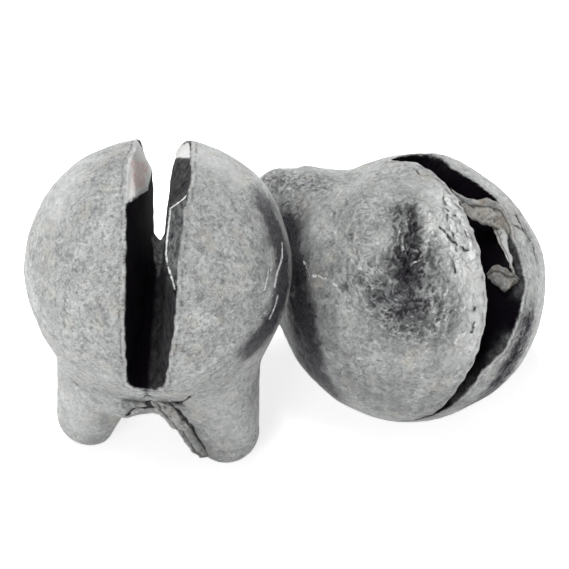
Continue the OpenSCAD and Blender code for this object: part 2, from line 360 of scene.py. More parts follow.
class OpenShot(SlotAndWeb, bpy.types.PropertyGroup):
    """Sizes of the front shot, which stands on its ears with its slot open"""

    ball_d: length("Ball", "Diameter of the ball", 10)
    ball_spread: factor("Spread", "How much wider the ball is across the slot", 1.024)
    slot_w: length("Slot", "Width of the slot at the middle", 0.95)
    flare: length("Flare", "Extra width at the mouth", 0.85)
    skew: length("Skew", "Extra width at the wide end", 0.2)
    shift: length("Shift", "Place of the slot across the ball", -0.15)
    ragged: length("Raggedness", "How ragged the slot's rim is", 0.025)
    floor_ragged: length("Floor raggedness", "How ragged the slot's floor is", 0.05)
    fillet: length("Fillet", "Size of the fillet between ball and ears", 0.9)
    left_root: spot("Left root", "Middle of the left ear's root", (-1.5, 0, -2.25))
    left_tip: spot("Left tip", "Middle of the left ear's tip", (-2.65, -0.08, -7.15))
    right_root: spot("Right root", "Middle of the right ear's root", (1.55, -0.1, -2.3))
    right_tip: spot("Right tip", "Middle of the right ear's tip", (2.7, -0.77, -7.15))
    left_root_d: length("Left root", "Thickness of the left ear's root", 4.8)
    left_tip_d: length("Left tip", "Thickness of the left ear's tip", 2.5)
    right_root_d: length("Right root", "Thickness of the right ear's root", 4.9)
    right_tip_d: length("Right tip", "Thickness of the right ear's tip", 2.5)


class PinchedShot(SlotAndWeb, bpy.types.PropertyGroup):
    """Sizes of the rear shot, which lies down and is pinched"""

    ball_d: length("Ball", "Diameter of the ball", 10.3)
    ball_spread: factor("Spread", "How much wider the ball is across the slot", 1.0)
    slot_w: length("Slot", "Width of the slot at the middle", 0.1)
    flare: length("Flare", "Extra width at the mouth", 1.4)
    skew: length("Skew", "Extra width at the wide end", 1.3)
    shift: length("Shift", "Place of the slot across the ball", 0.6)
    ragged: length("Raggedness", "How ragged the slot's rim is", 0.05)
    floor_ragged: length("Floor raggedness", "How ragged the slot's floor is", 0.01)
    fillet: length("Fillet", "Size of the fillet between ball and ears", 0.6)
    left_root: spot("Left root", "Middle of the left ear's root", (-1.5, 0, -2.3))
    left_tip: spot("Left tip", "Middle of the left ear's tip", (-2.65, 0, -6.15))
    right_root: spot("Right root", "Middle of the right ear's root", (2.15, -0.55, -3.7))
    right_tip: spot("Right tip", "Middle of the right ear's tip", (2.6, -0.4, -5.1))
    left_root_d: length("Left root", "Thickness of the left ear's root", 4.8)
    left_tip_d: length("Left tip", "Thickness of the left ear's tip", 2.5)
    right_root_d: length("Right root", "Thickness of the right ear's root", 3.6)
    right_tip_d: length("Right tip", "Thickness of the right ear's tip", 2.8)
    roll: angle("Roll", "Roll about the slot", -79)
    pitch: angle("Pitch", "Pitch of the shot", -34)
    turn: angle("Turn", "Turn of the shot on the table", -142)


class LeadSurface(bpy.types.PropertyGroup):
    """How finely the lead is modelled, and how rough it is"""

    front_step: length("Front step", "Size of the front shot's facets", 0.085)
    rear_step: length("Rear step", "Size of the rear shot's facets", 0.07)
    quick_step: length("Quick step", "Size of the facets in a quick look", 0.12)
    dent: length("Dents", "Depth of the broad dents", 0.05)
    dent_w: length("Dent width", "Width of the broad dents", 2.4)
    hammer: length("Hammering", "Depth of the small dents", 0.016)
    hammer_w: length("Hammering width", "Width of the small dents", 0.6)
    wrinkle: length("Wrinkles", "Height of the wrinkles where pliers gripped", 0.09)
    wrinkle_w: length("Wrinkle width", "Width of the wrinkles", 0.42)
    edge_round: length("Edges", "Rounding of the slot's edges", 0.12)
    web_half: length("Web half", "Half of the width that bends", 0.55)
    ear_line: length("Ear line", "Where an ear starts, below the ball's middle", 4.1)
    seed: IntProperty(name="Seed", description="Number that picks the pattern of dents", default=7)


class LeadColours(bpy.types.PropertyGroup):
    """Colours of the lead, and of the light and shade painted on it"""

    # Also the painted highlight on the crests of wrinkles
    pale: colour("Pale lead", "Pale patches of the cast skin", (0.50, 0.52, 0.51))
    dull: colour("Dull lead", "Dull patches of the cast skin", (0.33, 0.34, 0.335))
    dark: colour("Dark lead", "Dark specks of the cast skin", (0.11, 0.11, 0.115))
    # Also painted shade in hollows, pits, cracks, creases and between wrinkles
    grime_and_shade: colour("Grime", "Dark film in pits and creases", (0.03, 0.028, 0.032))
    # Also painted shade and painted dark reflection where the two shots meet and on their shaded parts
    tarnish_and_shade: colour("Tarnish", "Dark glossy film where the lead was handled", (0.022, 0.019, 0.026))
    # Near-black painted shade inside the slot
    slot: colour("Slot", "Dark walls of the slot", (0.006, 0.0045, 0.007))
    # Also painted highlights: on edges, in streaks and in pale patches
    fresh: colour("Fresh lead", "Bright lead, freshly cut or rubbed", (0.74, 0.75, 0.74))
    # Fresh cuts, painted near white as a painted reflection
    cut: colour("Fresh cut", "White glints of a fresh cut", (0.98, 0.98, 0.97))
    warm: colour("Warm glint", "Faint warm oxide", (0.47, 0.42, 0.35))
    # Painted glints
    pink: colour("Pink glint", "Pink glints of the fresh cut", (0.90, 0.55, 0.47))
    tan: colour("Tan oxide", "Tan oxide on torn lead", (0.36, 0.30, 0.22))


class StageSettings(bpy.types.PropertyGroup):
    """Floor, lamps and camera"""

    lens: factor("Lens", "Focal length, in millimetres", 1000)
    floor_size: length("Floor", "Side of the floor", 1200)
    world_light: factor("Sky", "Strength of the even light from all round", 0.28)
    key_power: power("Key lamp", "Power of the lamp at the upper left", 1.75)
    fill_power: power("Fill lamp", "Power of the lamp at the right", 0.3)
    floor_colour: colour("Floor colour", "Colour of the floor", (0.86, 0.86, 0.86))
    floor_glow: factor("Floor glow", "Light that lifts the floor to white where it is seen", 0.7)


def millimetres(settings):
    """A plain copy of a settings group, with its lengths in millimetres."""
    copy = SimpleNamespace()
    for key, prop in settings.bl_rna.properties.items():
        if prop.type not in ("FLOAT", "INT"):
            continue
        value = getattr(settings, key)
        value = np.array(value) if getattr(prop, "is_array", False) else value
        setattr(copy, key, value / MM if prop.unit == "LENGTH" else value)
    return copy


def smooth_union(a, b, reach):
    """The union of two fields, with a fillet of about this size between them."""
    h = np.maximum(reach - np.abs(a - b), 0) / reach
    return np.minimum(a, b) - h * h * reach / 4


def smooth_overlap(a, b, reach):
    """What two fields share, with an edge rounded by about this size."""
    return -smooth_union(-a, -b, reach)


def smooth_step(value, low, high):
    t = np.clip((value - low) / (high - low), 0, 1)
    return t * t * (3 - 2 * t)


def tapered_bar(p, a, b, radius_a, radius_b, flat):
    """Distance from a bar between two points that tapers, and is drawn out along Y by a straight stretch."""
    q = p.copy()
    q[:, 1] -= np.clip(q[:, 1], -flat / 2, flat / 2)
    line = b - a
    t = np.clip(((q - a) @ line) / (line @ line), 0, 1)
    return np.linalg.norm(q - a - t[:, None] * line, axis=1) - (radius_a + (radius_b - radius_a) * t)


def along(p, direction):
    """Distance from the ball's middle in a direction between the mouth and the wide end, in degrees."""
    lean = math.radians(direction)
    return p[:, 2] * math.cos(lean) - p[:, 1] * math.sin(lean)


class Casting:
    """One shot as a field that is negative inside the lead, in its own frame and in millimetres."""

    def __init__(self, sizes, surface, place, front_centre, rims, facets=()):
        self.s = sizes
        self.surface = surface
        self.place = place
        self.turn = np.array(place.to_3x3())
        self.offset = np.array(place.translation - front_centre) / MM
        self.rims = {side: np.array(rim, float).T for side, rim in rims.items()}
        self.facets = facets

    def ball(self, p):
        stretched = p * np.array([1 / self.s.ball_spread, 1, 1])
        return np.linalg.norm(stretched, axis=1) - self.s.ball_d / 2

    def wall(self, p, side):
        """Where the wall of the slot stands across the ball."""
        s = self.s
        y, z = p[:, 1], p[:, 2]
        half = s.slot_w / 2 + z * s.flare / s.ball_d - y * s.skew / s.ball_d
        place = s.shift + side * np.maximum(half, s.kerf / 2)
        angle = np.degrees(np.arctan2(-y, z))
        angles, places, depths = self.rims[side]
        depth = s.ball_d / 2 - np.hypot(y, z)
        near_rim = 1 - smooth_step(depth / np.interp(angle, angles, depths), RIM_FULL, 1)
        known = smooth_step(np.abs(angle), RIM_END, RIM_SEEN)
        # Waves whose lengths share no factor, so that the rim doesn't repeat
        nicks = np.sin(13 * z + 9 * y + side) * np.sin(3.1 * z - 5.3 * y) * np.sin(1.7 * z + 2.9 * y + 1)
        ragged = np.sin(6.1 * y + 2.3 * z) * np.sin(4.7 * z - 1.9 * y) + 0.6 * nicks
        rim = np.interp(angle, angles, places) + s.ragged * ragged
        place = place + (rim - place) * near_rim * known
        for facet_side, direction, profile in self.facets:
            if facet_side == side:
                depth = np.interp(along(p, direction), *np.array(profile).T)
                place = place + side * depth * (1 - near_rim * known)
        return place

    def slot(self, p):
        """The slot: negative in its open space."""
        left = self.wall(p, LEFT) - p[:, 0]
        right = p[:, 0] - self.wall(p, RIGHT)
        s = self.s
        fall = s.floor_fall * np.maximum(p[:, 1] - s.floor_run, 0)
        ragged = np.sin(9.7 * p[:, 0] + 1.1) + 0.6 * np.sin(23 * p[:, 0] + 3 * p[:, 1])
        floor = -s.floor_drop - fall - s.floor_ragged * ragged - p[:, 2]
        return smooth_overlap(np.maximum(left, right), floor, FLOOR_ROUND)

    def ears(self, p):
        s = self.s
        left = tapered_bar(p, s.left_root, s.left_tip, s.left_root_d / 2, s.left_tip_d / 2, s.ear_flat)
        right = tapered_bar(p, s.right_root, s.right_tip, s.right_root_d / 2, s.right_tip_d / 2, s.ear_flat)
        return np.minimum(left, right)

    def notch(self, p):
        """The notch between the ears: negative in its open space."""
        s = self.s
        apex = s.floor_drop + s.web_d / 2
        return np.abs(p[:, 0] - s.shift) * math.cos(NOTCH_SLANT) + (p[:, 2] + apex) * math.sin(NOTCH_SLANT)

    def web(self, p):
        s = self.s
        x = p[:, 0] - s.shift
        z = p[:, 2] + s.floor_drop + s.web_d / 2
        return smooth_overlap(np.hypot(x, z) - s.web_d / 2, np.abs(p[:, 1]) - s.web_tail / 2, WEB_END_ROUND)

    def field(self, p):
        s = self.s
        ears = smooth_overlap(self.ears(p), -self.notch(p), NOTCH_ROUND)
        lead = smooth_union(self.ball(p), ears, s.fillet)
        lead = smooth_union(lead, self.web(p), WEB_FILLET)
        return smooth_overlap(lead, -self.slot(p), self.surface.edge_round)

    def slope(self, p):
        """Direction in which the field grows fastest."""
        steps = np.eye(3) * SLOPE_REACH
        rise = np.stack([self.field(p + d) - self.field(p - d) for d in steps], axis=1)
        return rise / (2 * SLOPE_REACH)


def net(field, low, high, step):
    """Corners and faces of the surface where a field is zero, one corner to each cell that it crosses."""
    counts = np.ceil((high - low) / step).astype(int) + 1
    axes = [low[i] + step * np.arange(counts[i]) for i in range(3)]
    values = np.empty(counts, np.float32)
    for i, x in enumerate(axes[0]):
        y, z = np.meshgrid(axes[1], axes[2], indexing="ij")
        layer = np.column_stack([np.full(y.size, x), y.ravel(), z.ravel()])
        values[i] = field(layer).reshape(y.shape)
    inside = values < 0
    shape = counts - 1
    total = np.zeros(shape)
    place = np.zeros((*shape, 3))
    corners = [(i, j, k) for i in (0, 1) for j in (0, 1) for k in (0, 1)]

    def corner(array, c):
        return array[c[0]:c[0] + shape[0], c[1]:c[1] + shape[1], c[2]:c[2] + shape[2]]

    for a in corners:
        for axis in range(3):
            if a[axis]:
                continue
            b = tuple(c + (n == axis) for n, c in enumerate(a))
            crossed = corner(inside, a) != corner(inside, b)
            va, vb = corner(values, a)[crossed], corner(values, b)[crossed]
            at = np.tile(np.array(a, float), (len(va), 1))
            at[:, axis] += va / (va - vb)
            total[crossed] += 1
            place[crossed] += at
    used = total > 0
    number = np.full(shape, -1)
    number[used] = np.arange(used.sum())
    points = low + step * (np.argwhere(used) + place[used] / total[used][:, None])
    faces = []
    for axis in range(3):
        u, v = (axis + 1) % 3, (axis + 2) % 3
        first = [slice(1, n) for n in shape]
        first[axis] = slice(0, shape[axis])
        second = list(first)
        second[axis] = slice(1, shape[axis] + 1)
        start, end = inside[tuple(first)], inside[tuple(second)]
        for outward, crossed in ((True, start & ~end), (False, ~start & end)):
            cell = np.argwhere(crossed) + 1
            cell[:, axis] -= 1
            ring = []
            for du, dv in ((0, 0), (-1, 0), (-1, -1), (0, -1)):
                c = cell.copy()
                c[:, u] += du
                c[:, v] += dv
                ring.append(number[tuple(c.T)])
            ring = np.stack(ring if outward else ring[::-1], axis=1)
            faces.append(ring)
    return points, np.vstack(faces)


def settled(casting, points):
    """The points moved onto the casting's true surface."""
    for _ in range(SETTLE_ROUNDS):
        slope = casting.slope(points)
        steepness = np.maximum((slope**2).sum(1), LEAST_STEEPNESS)
        points = points - slope * (casting.field(points) / steepness)[:, None]
    return points


def fractal(points, width, octaves, seed):
    """Rough noise of about plus or minus one, with features of this width."""
    shift = Vector((17.3 * seed, -5.1 * seed, 9.7 * seed))
    spots = [Vector(q) + shift for q in points / width]
    return np.array([noise.fractal(q, NOISE_FADE, NOISE_STEP, octaves) for q in spots])


def ridges(points, width, seed):
    """Noise with narrow ridges, from 0 in the hollows to 1 on the ridges."""
    shift = Vector((3.7 * seed, 11.9 * seed, -8.3 * seed))
    plain = np.array([noise.noise(Vector(q) + shift) for q in points / width])
    return 1 - np.minimum(np.abs(plain) * RIDGE_NARROWNESS, 1)


def bulge(p, spot, width, height):
    """A smooth bump of this height round a spot, or a hollow where the height is negative."""
    return height * np.exp(-((np.linalg.norm(p - spot, axis=1) / width) ** 2))


def sight_point(casting, pixel, nearness):
    """The point that the photograph shows at a pixel, this near to the camera, in the shot's own frame."""
    across = (pixel[0] - FRONT_BALL_PIXEL[0]) / PIXELS_PER_MM - casting.offset[0]
    up = (FRONT_BALL_PIXEL[1] - pixel[1]) / PIXELS_PER_MM - casting.offset @ PHOTO_UP
    seen = np.array([1.0, 0, 0]) * across + PHOTO_UP * up + PHOTO_OUT * nearness
    return casting.turn.T @ seen


def towards_camera(casting):
    """The way to the camera in the shot's own frame."""
    return sight_point(casting, (0, 0), 1) - sight_point(casting, (0, 0), 0)


def photo_point(casting, pixel):
    """The point of a shot's surface that the photograph shows at a pixel, in the shot's own frame."""
    line = np.arange(SIGHT_NEAR, SIGHT_FAR, -SIGHT_STEP)
    start = sight_point(casting, pixel, 0)
    way = sight_point(casting, pixel, 1) - start
    depths = casting.field(start + way * line[:, None])
    inside = np.flatnonzero(depths < 0)
    nearest = inside[0] if len(inside) else np.argmin(depths)
    return start + way * line[nearest]


def from_line(points, line):
    """Distance of each point from a line of joined points."""
    nearest = np.full(len(points), np.inf)
    for a, b in zip(line[:-1], line[1:]):
        t = np.clip(((points - a) @ (b - a)) / ((b - a) @ (b - a)), 0, 1)
        nearest = np.minimum(nearest, np.linalg.norm(points - a - t[:, None] * (b - a), axis=1))
    return nearest


def behind_outline(casting, p, outline):
    """1 for the points that the photograph shows within an outline of its pixels, and 0 for the others."""
    seen = p @ casting.turn.T + casting.offset
    across = FRONT_BALL_PIXEL[0] + PIXELS_PER_MM * seen[:, 0]
    down = FRONT_BALL_PIXEL[1] - PIXELS_PER_MM * (seen @ PHOTO_UP)
    inside = np.zeros(len(p), bool)
    for (x0, y0), (x1, y1) in zip(outline, outline[1:] + outline[:1]):
        if y0 != y1:
            crossed = x0 + (down - y0) * (x1 - x0) / (y1 - y0)
            inside ^= ((y0 > down) != (y1 > down)) & (across < crossed)
    return inside * 1.0


def wandering(p):
    """The points, shifted a little at random, for marks with irregular edges."""
    return p + WANDER * np.stack([fractal(p, WANDER_W, 4, seed) for seed in WANDER_SEEDS], axis=1)


def drawn(casting, p, lines):
    """A mark that is strong along lines through the photograph's pixels and fades away from them."""
    mark = np.zeros(len(p))
    for pixels, width, strength in lines:
        away = from_line(p, np.array([photo_point(casting, q) for q in pixels]))
        mark = np.maximum(mark, strength * np.exp(-((away / width) ** 2)))
    return mark


def joint(name):
    return next(j for j in frame["joints"] if j["name"] == name)


def shot_place(joint_name, angles, settings):
    """Where a shot lies: its own frame, from the joint that its web bends on."""
    sizes = millimetres(settings)
    turn = Euler(angles).to_matrix()
    pivot = Vector(joint(joint_name)["pos_m"])
    to_pivot = Vector((sizes.shift, 0, -sizes.floor_drop - sizes.web_d / 2)) * MM
    return Matrix.Translation(pivot - turn @ to_pivot) @ turn.to_4x4()


def front_place(scene):
    axis = joint("front_web_bend")["axis"]
    return shot_place("front_web_bend", (0, 0, math.atan2(axis[0], -axis[1])), scene.open_shot)


def rear_place(scene):
    shot = scene.pinched_shot
    return shot_place("rear_web_bend", (shot.roll, shot.pitch, shot.turn), shot)


def whole_skin(casting, step, shape):
    """The shot's skin: points, faces, and the marks that the materials read."""
    s = casting.s
    radius = s.ball_d / 2 + ROOM
    deepest = min(s.left_tip[2] - s.left_tip_d / 2, s.right_tip[2] - s.right_tip_d / 2)
    low = np.array([-radius, -radius, deepest - ROOM])
    high = np.array([radius, radius, radius])
    points, faces = net(casting.field, low, high, step)
    points = settled(casting, points)
    slope = casting.slope(points)
    normals = slope / np.maximum(np.linalg.norm(slope, axis=1), LEAST_LENGTH)[:, None]
    marks = shape(casting, points)
    feel, slot = EDGE_FEEL, casting.slot(points)
    marks["edge"] = np.clip((casting.field(points - normals * feel) + feel) / feel, 0, 1)
    marks["hollow"] = np.clip((feel - casting.field(points + normals * feel)) / feel, 0, 1)
    marks["inner"] = smooth_step(-casting.ball(points) - np.abs(slot), -INNER_BLUR, INNER_BLUR)
    marks["rim"] = np.exp(-(((slot - RIM_LINE) / RIM_LINE_W) ** 2)) * (1 - marks["inner"])
    marks["cast_mm"] = points
    return points + normals * marks.pop("lift")[:, None], faces, marks


def new_object(name, data):
    made = bpy.data.objects.new(name, data)
    bpy.context.scene.collection.objects.link(made)
    return made


def add_mark(mesh, name, values):
    """Writes a value of each point on the mesh, for its material to read."""
    kind, field = ("FLOAT_VECTOR", "vector") if values.ndim == 2 else ("FLOAT", "value")
    mesh.attributes.new(name, kind, "POINT").data.foreach_set(field, values.astype(np.float32).ravel())


def whole_mesh(name, skin, place):
    """The skin as one Blender mesh in the row frame, with its marks as attributes."""
    points, faces, marks = skin
    mesh = bpy.data.meshes.new(name)
    mesh.from_pydata(points, [], faces)
    mesh.transform(place @ Matrix.Scale(MM, 4))
    for mark, values in marks.items():
        add_mark(mesh, mark, values)
    normals = np.zeros((len(mesh.vertices), 3), np.float32)
    mesh.vertex_normals.foreach_get("vector", normals.ravel())
    add_mark(mesh, "skin_normal", normals)
    return mesh


def cut_piece(name, mesh, place, cuts, material):
    """What lies behind each cut of the whole skin, closed there. A cut is a point and a direction in mm."""
    bm = bmesh.new()
    bm.from_mesh(mesh)
    turn = place.to_3x3()
    for point, direction in cuts:
        whole = bm.verts[:] + bm.edges[:] + bm.faces[:]
        co = place @ (Vector(point) * MM)
        no = turn @ Vector(direction)
        made = bmesh.ops.bisect_plane(
            bm, geom=whole, dist=CUT_MERGE, plane_co=co, plane_no=no, clear_outer=True)
        rim = [e for e in made["geom_cut"] if isinstance(e, bmesh.types.BMEdge) and e.is_boundary]
        caps = bmesh.ops.holes_fill(bm, edges=rim, sides=0)["faces"]
        for face in bmesh.ops.triangulate(bm, faces=caps)["faces"]:
            face.material_index = 1
    piece_mesh = bpy.data.meshes.new(name)
    bm.to_mesh(piece_mesh)
    bm.free()
    piece_mesh.shade_smooth()
    skin_normals = np.zeros((len(piece_mesh.vertices), 3), np.float32)
    piece_mesh.attributes["skin_normal"].data.foreach_get("vector", skin_normals.ravel())
    corners = np.zeros(len(piece_mesh.loops), np.int32)
    piece_mesh.loops.foreach_get("vertex_index", corners)
    normals = skin_normals[corners]
    for face in piece_mesh.polygons:
        if face.material_index == 1:
            normals[face.loop_start:face.loop_start + face.loop_total] = face.normal
    piece_mesh.normals_split_custom_set(normals.tolist())
    piece_mesh.attributes.remove(piece_mesh.attributes["skin_normal"])
    for face in piece_mesh.polygons:
        face.material_index = 0
    piece_mesh.materials.append(material)
    return new_object(name, piece_mesh)


def cut_into_pieces(casting, mesh, shot, left, right, material):
    """The five pieces of a shot: two halves of the ball, two ears and the web that they bend on."""
    surface, place, s = casting.surface, casting.place, casting.s
    for_left, for_right = s.shift - surface.web_half, s.shift + surface.web_half
    ear_z = -surface.ear_line
    left_of, right_of = ((for_left, 0, 0), (1, 0, 0)), ((for_right, 0, 0), (-1, 0, 0))
    above, below = ((0, 0, ear_z), (0, 0, -1)), ((0, 0, ear_z), (0, 0, 1))
    web = (((for_left, 0, 0), (-1, 0, 0)), ((for_right, 0, 0), (1, 0, 0)))
    held, swung = f"{shot}_{right}_half", f"{shot}_{left}_half"
    for side, planes, body in ((left, left_of, swung), (right, right_of, held)):
        for form, limit in (("jaw", above), ("ear", below)):
            node = f"{shot}_{side}_{form}"
            piece = cut_piece(node + "_skin", mesh, place, (planes, limit), material)
            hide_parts(node)
            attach(piece, body)
    node = f"{shot}_web"
    creased = material.copy()
    creased.name = node + "_creased_lead"
    piece = cut_piece(node + "_skin", mesh, place, web, creased)
    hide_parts(node)
    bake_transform(piece)
    bpy.data.meshes.remove(mesh)


def dented(casting, p, bulges, seed):
    """How far the broad dents, the small ones and the bulges lift the skin."""
    g = casting.surface
    lift = fractal(p, g.dent_w, 2, seed) * g.dent + fractal(p, g.hammer_w, 3, seed + 1) * g.hammer
    for pixel, width, height in bulges:
        lift += bulge(p, photo_point(casting, pixel), width, height)
    return lift


def front_shape(casting, p):
    """Dents and marks of the front shot, among them painted light and shade."""
    q = wandering(p)
    lift = dented(casting, p, FRONT_BULGES, casting.surface.seed)
    crack = drawn(casting, q, FRONT_CRACKS)
    middle = casting.s.shift
    right = smooth_step(p[:, 0], middle - SIDE_BLUR, middle + SIDE_BLUR)
    # Patches of the slot's walls: the fresh cut and chip, and painted light on the facet, the upper right,
    # the floor and the right wall
    cut = behind_outline(casting, p, FRONT_CUT) * (1 - right)
    chip = behind_outline(casting, p, FRONT_CHIP) * right
    painted_wall_light = FACET_LIGHT * behind_outline(casting, p, FRONT_FACET) * right
    upper_right = UPPER_LIGHT * right * smooth_step(along(p, UPPER_WAY), UPPER_START, UPPER_FULL)
    floor = FLOOR_LIGHT * behind_outline(casting, p, FRONT_FLOOR)
    return {
        "lift": lift - CRACK_DEPTH["front"] * crack,
        "fresh": np.maximum(cut, CHIP_PALE * chip),
        "glint": behind_outline(casting, q, FRONT_GLINTS) * cut,
        "painted_wall_light": np.maximum.reduce([painted_wall_light, upper_right, floor, WALL_LIGHT * right]),
        "tarnish_and_shade": drawn(casting, q, FRONT_TARNISH_AND_SHADE),
        "rubbed_and_highlight": drawn(casting, p, FRONT_RUBS_AND_HIGHLIGHTS),
        "crack": crack,
        "filed": drawn(casting, q, FRONT_FILED),
        "pale": drawn(casting, q, FRONT_PALE_AND_SHEEN),
        "crumple": drawn(casting, q, FRONT_CRUMPLE),
    }


def rear_shape(casting, p):
    """Dents, wrinkles, cracks and marks of the rear shot, among them painted light and shade."""
    g, q = casting.surface, wandering(p)
    lift = dented(casting, p, REAR_BULGES, g.seed + 2)
    crumple = drawn(casting, q, REAR_CRUMPLE)
    wide = ridges(p, g.wrinkle_w, g.seed) * WIDE_WRINKLES
    fine = ridges(p, g.wrinkle_w * FINER, g.seed + 5) * FINE_WRINKLES
    lift += crumple * g.wrinkle * (wide + fine - FINE_WRINKLES)
    dimple = from_line(p, np.array([photo_point(casting, pixel) for pixel in REAR_DIMPLE]))
    hollow = np.exp(-((dimple / DIMPLE_W) ** 2))
    raised = np.exp(-(((dimple - DIMPLE_RIM) / DIMPLE_RIM_W) ** 2))
    lift += DIMPLE_RIM_H * raised - DIMPLE_DEPTH * hollow
    crack = drawn(casting, q, REAR_CRACKS)
    return {
        "lift": lift - CRACK_DEPTH["rear"] * crack,
        "fresh": np.zeros(len(p)),
        "glint": np.zeros(len(p)),
        "painted_wall_light": SHEEN_LIGHT * drawn(casting, q, REAR_SHEEN),
        "filed": drawn(casting, q, REAR_FILED),
        "tarnish_and_shade": np.maximum(drawn(casting, q, REAR_TARNISH_AND_SHADE), DIMPLE_SHADE * hollow),
        "rubbed_and_highlight": drawn(casting, q, REAR_RUBS_AND_HIGHLIGHTS),
        "crack": crack,
        "pale": drawn(casting, q, REAR_PALE_AND_LIGHT),
        "crumple": np.maximum(crumple, hollow),
    }


def ribbon(casting, columns, across, between, thickness, curl, seed, fresh_and_lit):
    """A strip of torn lead through pairs of edge points: points, faces, place across it, and its brightness
    from fresh lead and painted light.
    """
    pairs = np.array([[sight_point(casting, q[:2], q[2]) for q in column] for column in columns])
    count = (len(columns) - 1) * between + 1
    s = np.linspace(0, len(columns) - 1, count)
    t = np.linspace(0, 1, across)

    def edge(side, first_seed):
        line = np.stack([np.interp(s, range(len(columns)), pairs[:, side, k]) for k in range(3)], axis=1)
        for _ in range(between):
            line[1:-1] = (line[:-2] + 2 * line[1:-1] + line[2:]) / 4
        return line + np.stack([fractal(line, WAVER_W, 2, first_seed + k) for k in range(3)], axis=1) * WAVER

    upper, lower = edge(0, seed + 2), edge(1, seed + 5)
    sheet = upper[:, None] * (1 - t)[None, :, None] + lower[:, None] * t[None, :, None]
    roll, groove = np.exp(-((t / ROLL_W) ** 2)), np.exp(-(((t - GROOVE_AT) / GROOVE_W) ** 2))
    rise = curl * (np.sin(t * ROLL_WAVE) * 0.5 + roll - groove)
    flat = sheet.reshape(-1, 3)
    wide = fractal(flat, WIDE_BUMPS[0], 3, seed) * WIDE_BUMPS[1]
    bumps = wide + fractal(flat, FINE_BUMPS[0], 2, seed + 1) * FINE_BUMPS[1]
    taper = np.sqrt(np.clip(4 * t * (1 - t), 0, 1))
    rise, half = np.tile(rise, count), thickness / 2 * np.tile(taper, count)
    out = towards_camera(casting)
    front = flat + out * (bumps + rise + half)[:, None]
    back = flat + out * (bumps / 2 + rise - half - SPARE)[:, None]
    grid = np.arange(count * across).reshape(count, across)
    quads = np.stack([grid[:-1, :-1], grid[1:, :-1], grid[1:, 1:], grid[:-1, 1:]], axis=-1).reshape(-1, 4)
    size = count * across
    rim = np.concatenate([grid[:, 0], grid[-1, 1:], grid[::-1, -1][1:], grid[0, ::-1][1:-1]])
    turned = np.roll(rim, -1)
    sides = np.stack([rim, rim + size, turned + size, turned], axis=1)
    faces = np.vstack([quads, quads[:, ::-1] + size, sides])
    return np.vstack([front, back]), faces, np.tile(t, 2 * count), np.full(2 * size, fresh_and_lit)


def torn_piece(casting, strips, node, body, material):
    """A piece made of strips of torn lead."""
    points, faces, across, fresh_and_lit = zip(*strips)
    starts = np.cumsum([0] + [len(strip) for strip in points])
    points = np.vstack(points)
    mesh = bpy.data.meshes.new(node + "_skin")
    mesh.from_pydata(points, [], np.vstack([strip + start for strip, start in zip(faces, starts)]))
    mesh.transform(casting.place @ Matrix.Scale(MM, 4))
    add_mark(mesh, "cast_mm", points)
    add_mark(mesh, "across", np.concatenate(across))
    add_mark(mesh, "fresh_and_lit", np.concatenate(fresh_and_lit))
    bm = bmesh.new()
    bm.from_mesh(mesh)
    bmesh.ops.recalc_face_normals(bm, faces=bm.faces)
    bm.to_mesh(mesh)
    bm.free()
    mesh.shade_smooth()
    mesh.materials.append(material)
    piece = new_object(node + "_skin", mesh)
    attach(piece, body)
    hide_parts(node)


